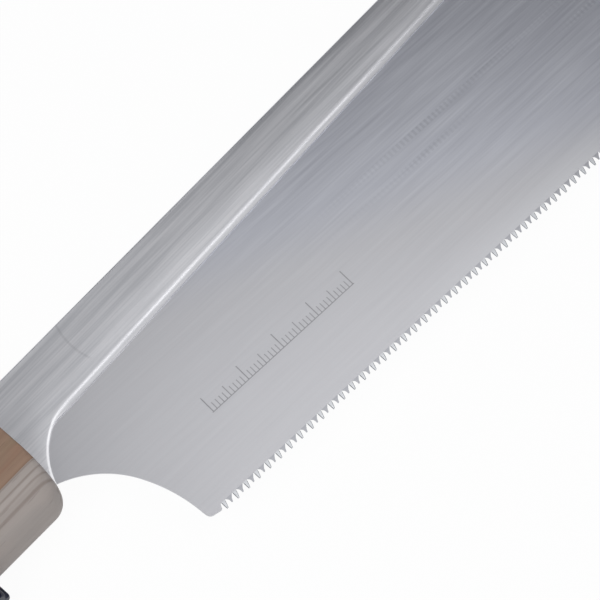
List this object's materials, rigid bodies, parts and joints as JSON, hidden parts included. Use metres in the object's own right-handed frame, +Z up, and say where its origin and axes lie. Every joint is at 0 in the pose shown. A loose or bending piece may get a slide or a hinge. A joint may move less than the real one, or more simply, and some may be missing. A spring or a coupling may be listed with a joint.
{
  "type": "razor saw",
  "caption": "Pull-stroke razor saw: thin toothed steel plate in a folded steel back, its tang clamped in a laminated wooden handle by a thumb screw.",
  "frame": {"origin": "on the flat side of the handle that the saw rests on, on the handle's middle line, level with the clamp screw", "axes": "+X along the saw from the handle to the toe, +Y from the teeth to the spine, +Z up through the thickness of the plate"},
  "size_m": [0.4159, 0.0699, 0.02],
  "materials": {
    "core_wood": "satin brown wood with fine grain along the handle",
    "cheek_wood": "pale satin wood with darker grain lines along the handle",
    "plate_steel": "fine ground steel",
    "back_steel": "steel brushed along the spine",
    "socket_steel": "plain rolled steel",
    "rivet_steel": "turned steel",
    "screw_steel": "zinc-plated steel",
    "brass": "turned brass",
    "knob_steel": "blackened steel with a soft bluish sheen"
  },
  "bodies": {
    "handle": {"handle_core": "core_wood", "upper_cheek": "cheek_wood", "lower_cheek": "cheek_wood", "tang_socket": "socket_steel", "tang_stop": "socket_steel", "socket_rivets": "rivet_steel", "screw_insert": "brass"},
    "blade": {"saw_plate": "plate_steel", "blade_back": "back_steel", "tang_filler": "plate_steel", "tang_rivets": "rivet_steel"},
    "shoe": {"clamp_shoe": "brass"},
    "screw": {"clamp_screw": "screw_steel", "clamp_knob": "knob_steel"}
  },
  "joints": [
    {"name": "blade_slide", "type": "slide", "parent": "handle", "child": "blade", "axis": [1, 0, 0], "range_m": [0, 0.058]},
    {"name": "shoe_slide", "type": "slide", "parent": "handle", "child": "shoe", "axis": [0, -1, 0], "range_m": [0, 0.004]},
    {"name": "screw_turn", "type": "hinge", "parent": "shoe", "child": "screw", "pos_m": [0, -0.02, 0.01], "axis": [0, -1, 0], "range_deg": [0, 1440]}
  ],
  "couplings": [
    {"joint": "shoe_slide", "follows": "screw_turn", "m_per_rad": 0.00015915}
  ]
}
